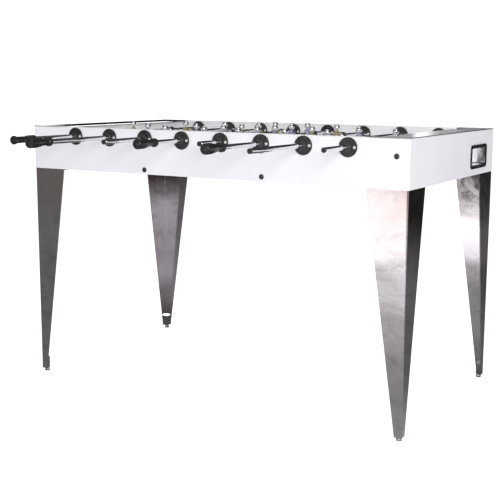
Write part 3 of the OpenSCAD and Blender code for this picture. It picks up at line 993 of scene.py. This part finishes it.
def make_leg(corner):
    """Tapered angle leg of bent sheet, with the drilled block that closes its lower end."""
    foot_w = 25 * mm
    stem_at = 13.5 * mm
    bore_r = 5.05 * mm
    bore_top = 80 * mm
    rows = 12
    loops = []
    for i in range(rows + 1):
        share = i / rows
        z = corner.bottom + (corner.top - corner.bottom) * share
        outline = wing_outline(foot_w + (corner.width - foot_w) * share)
        loops.append([corner.at(p.x, p.y, z) for p in outline])
    work = bmesh.new()
    loft(work, loops)
    new_piece(f"leg_{corner.name}_sheet", mesh_from("leg", work), LEG_STEEL, "cabinet", 40,
              f"leg_{corner.name}")

    t = leg_sheet
    block_h = 42 * mm
    edge = 0.8 * mm
    chamfer = 3 * mm
    far = foot_w - t
    outline = [(t, t), (far, t), (far, far - chamfer), (far - chamfer, far), (t, far)]
    low, high = corner.bottom, corner.bottom + block_h
    solid = corner.block(outline, foot_w / 2, ((low + 0.2 * mm, 0.96), (low + edge, 1.0),
                                               (high - edge, 1.0), (high, 0.94)))
    bore = lathed("leg_bore", [(0, 0), (0, bore_r), (bore_top, bore_r), (bore_top, 0)],
                  corner.at(stem_at, stem_at, 0), (0, 0, 1), 40)
    drilled = cut(mesh_from("leg_block", solid), bore)
    new_piece(f"leg_{corner.name}_block", drilled, LEG_STEEL, "cabinet")


def make_foot(corner):
    """Levelling foot: a chrome pad with a soft edge, on its stem."""
    name = f"foot_{corner.name}"
    low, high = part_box(name)
    centre = centre_of(low, high)
    r = (high.x - low.x) / 2 / mm
    top = high.z / mm
    profile = rounded_mm([(0, 0), (0, r, 1.4), (7, r, 1.6), (10, 6.5, 0.6), (10, 5), (top - 0.8, 5),
                          (top, 4.2), (top, 0)], 5)
    turned(f"{name}_pad", profile, (centre.x, centre.y, 0), (0, 0, 1), CHROME, name, 56, instead=name)


def make_mounting(corner):
    """Steel plate in the leg's top with four socket bolts up into the walls."""
    t = 3.2 * mm
    far = corner.width - 6 * mm
    slant = 60 * mm
    heart = 45 * mm
    low = base_z - 4 * mm
    head_d, head_t, socket_d = 13 * mm, 5 * mm, 7 * mm
    near_bolt, far_bolt = 40 * mm, 100 * mm
    outline = [(t, t), (far, t), (far, slant), (slant, far), (t, far)]
    work = corner.block(outline, heart, ((low, 0.992), (low + 0.6 * mm, 1.0), (base_z, 1.0)))
    new_piece(f"leg_plate_{corner.name}", mesh_from("leg_plate", work), BLACK_STEEL, "cabinet",
              instead="leg_mountings" if corner.name == PLACES[0] else None)
    inset = wall / 2 - 1 * mm
    spots = [(near_bolt, inset), (far_bolt, inset), (inset, near_bolt), (inset, far_bolt)]
    for i, (x, y) in enumerate(spots):
        socket_bolt(f"leg_bolt_{corner.name}_{i + 1}", corner.at(x, y, low), (0, 0, -1),
                    head_d, head_t, socket_d)


# ---------------------------------------------------------------- the table

make_cabinet()
make_window_frames()
make_cabinet_bolts()
make_bearings()
make_sleeves()
for rod in rods:
    make_shaft(rod)
    make_grip(rod)
    make_cap(rod)
    make_bumpers(rod)
make_players()
for place in PLACES:
    corner = Corner(place)
    make_leg(corner)
    make_foot(corner)
    make_mounting(corner)


# ---------------------------------------------------------------- studio

def floor_card(name, width, z, material, *rays):
    """A square of floor for some kinds of ray: "camera", "diffuse", "glossy" or "shadow"."""
    r = width / 2
    mesh = bpy.data.meshes.new(name)
    mesh.from_pydata([(-r, -r, 0), (r, -r, 0), (r, r, 0), (-r, r, 0)], [], [(0, 1, 2, 3)])
    mesh.materials.append(material)
    card = linked(name, mesh)
    card.location.z = z
    for kind in ("camera", "diffuse", "glossy", "transmission", "shadow", "volume_scatter"):
        setattr(card, f"visible_{kind}", kind in rays)


def area_light(name, location, target, size, power, color=(1, 1, 1)):
    """A square soft light aimed at a point."""
    data = bpy.data.lights.new(name, "AREA")
    data.shape = "RECTANGLE"
    data.size, data.size_y = size
    data.energy = power
    data.color = color
    lamp = linked(name, data)
    lamp.location = location
    aim = Vector(target) - Vector(location)
    lamp.rotation_euler = aim.to_track_quat("-Z", "Y").to_euler()
    return lamp


def glowing(name, color, strength):
    """A plain studio material that also gives light."""
    f = Finish(name, color, roughness=0.7)
    f.shader.inputs["Emission Color"].default_value = (*color, 1)
    f.shader.inputs["Emission Strength"].default_value = strength
    return f.material


def floor_glow():
    """What polished parts see in the floor: patches of light and shade round the table."""
    f = Finish("floor_glow", (0, 0, 0), roughness=1.0)
    f.shader.inputs["Specular IOR Level"].default_value = 0
    x, y, _ = f.axes(f.place)
    warp = f.plus(f.remap(f.noise(1.5, 3), -0.25, 0.25, 0, 1), f.remap(f.noise(12, 3), -0.25, 0.25, 0, 1))
    ahead = f.plus(y, warp)
    # In a mirror facing the front, each leg shows its own slanting lane of the floor
    lane = f.plus(x, f.times(y, -0.65))
    lane = f.plus(lane, f.times(warp, 0.4))

    def patch(strength, *limits):
        """Light of a strength where every limit (value, its 0 end, its 1 end) is past its 1 end."""
        value = strength
        for place, nought, full in limits:
            low, high = (0, 1) if nought < full else (1, 0)
            share = f.remap(place, low, high, min(nought, full), max(nought, full))
            value = f.times(share, value)
        return value

    beside = f.plus(x, f.times(y, -0.35))
    patches = [
        patch(0.2, (lane, 0.0, 0.4)),
        patch(0.25, (lane, 0.0, 0.4), (ahead, -1.2, -1.5)),
        patch(0.45, (lane, 0.0, 0.4), (ahead, -1.9, -2.1)),
        patch(0.85, (lane, 0.0, 0.4), (lane, 3.0, 2.2), (ahead, -2.95, -3.15)),
        patch(-1.0, (lane, 3.0, 6.0), (ahead, -2.6, -6.0)),
        patch(0.04, (beside, 0.8, 0.6), (beside, 0.0, 0.3), (ahead, 0.5, 1.0)),
        patch(-0.15, (beside, 0.7, 0.9), (ahead, 2.5, 4.0)),
    ]
    glow = 0.19
    for light in patches:
        glow = f.plus(light, glow)
    glow = f.times(glow, f.remap(ahead, 1, 0.4, -0.2, 0.2))
    f.shader.inputs["Emission Color"].default_value = (1, 0.98, 0.985, 1)
    f.feed(f.shader.inputs["Emission Strength"], glow)
    return f.material


floor_card("floor", 40, 0, glowing("floor_white", (0.9, 0.9, 0.905), 0.75), "camera", "shadow")
floor_card("floor_card", 24, 0.5 * mm, floor_glow(), "glossy")
floor_card("floor_bounce", 40, -1 * mm, glowing("bounce_white", (0.97, 0.955, 1.0), 0.55), "diffuse")
area_light("key", (2.9, -3.3, 2.0), (0.4, -0.3, 0.8), (1.5, 1.5), 90, (1.0, 0.985, 0.97))
area_light("top", (0, 0.3, 4.0), (0, 0, 0.8), (4.0, 3.0), 40)
for side in (-1, 1):
    fill = area_light(f"pocket_{side}", (side * 0.655, 0, 0.88), (side * 0.655, side * 0.36, 0.83),
                      (0.06, 0.1), 0.8)
    fill.visible_glossy = False


def make_world():
    """White behind the table, a soft even light, and a half dark room in the mirror parts."""
    world = bpy.data.worlds.new("studio")
    world.use_nodes = True
    g = Graph(world.node_tree)
    coords = g.nodes.new("ShaderNodeTexCoord").outputs["Generated"]
    rays = g.nodes.new("ShaderNodeLightPath").outputs
    x, y, z = g.axes(coords)
    behind = g.times(g.remap(y, 0, 1, -0.25, 0.3), g.remap(z, 1, 0, 0.55, 0.9))

    # Low behind the table the light changes with the azimuth: (degrees, strength)
    stops = ((-36, 1.75), (-33, 1.75), (-32, 0.04), (-27, 0.04), (-25.5, 0.42), (-21.7, 0.42),
             (-21.3, 1.4), (-20.9, 1.4), (-20.4, 0.7), (-20.0, 0.45), (-19.2, 0.45), (-18.5, 0.3),
             (-16, 0.3), (-13, 0.04))
    start, end = math.radians(-36), math.radians(-12)
    low_room = g.nodes.new("ShaderNodeValToRGB")
    shades = low_room.color_ramp
    while len(shades.elements) < len(stops):
        shades.elements.new(0.5)
    for element, (degrees, value) in zip(shades.elements, stops):
        element.position = (math.radians(degrees) - start) / (end - start)
        element.color = (value, value, value, 1)
    g.feed(low_room.inputs["Fac"], g.remap(g.math("ARCTAN2", x, y), 0, 1, start, end))
    dark = g.mix(g.remap(z, 1, 0, 0.058, 0.07), 0.045, low_room.outputs["Color"])

    # Low in front: bright ahead of the table's right half, dark to the left
    aside = g.math("DIVIDE", x, y)
    bright = g.times(g.remap(aside, 1.5, 0.13, 0.52, 0.64), g.remap(aside, 0.25, 1, -0.75, -0.4))
    low_front = g.times(g.remap(y, 1, 0, -0.5, -0.3), g.remap(z, 1, 0, 0.2, 0.32))
    front = g.mix(low_front, g.remap(z, 0.5, 0.08, 0.4, 0.8), bright)

    glossy = g.mix(rays["Is Glossy Ray"], 0.5, g.mix(behind, front, dark))
    room = g.nodes["Background"]
    room.inputs["Color"].default_value = (1, 1, 1, 1)
    g.feed(room.inputs["Strength"], g.mix(rays["Is Camera Ray"], glossy, 1.15))
    bpy.context.scene.world = world


make_world()


# ---------------------------------------------------------------- camera

def place_camera():
    """The camera, fitted to the table's corners, plates and feet."""
    azimuth = math.radians(30.352)
    elevation = math.radians(9.145)
    roll = math.radians(0.288)
    distance = 3.5292
    target = Vector((0, 0, 0.5))
    back = Vector((math.sin(azimuth) * math.cos(elevation), -math.cos(azimuth) * math.cos(elevation),
                   math.sin(elevation)))
    right = Vector((math.cos(azimuth), math.sin(azimuth), 0))
    up = back.cross(right)
    turned_right = right * math.cos(roll) + up * math.sin(roll)
    turned_up = up * math.cos(roll) - right * math.sin(roll)
    data = bpy.data.cameras.new("camera")
    data.sensor_width = 36
    data.lens = 69.88
    data.shift_x = -0.0237
    data.shift_y = -0.0189
    data.clip_start = 0.05
    data.clip_end = 100
    camera = linked("camera", data)
    axes = Matrix((turned_right, turned_up, back)).transposed().to_4x4()
    camera.matrix_world = Matrix.Translation(target + back * distance) @ axes
    bpy.context.scene.camera = camera


place_camera()
bpy.context.scene.view_settings.view_transform = "Standard"
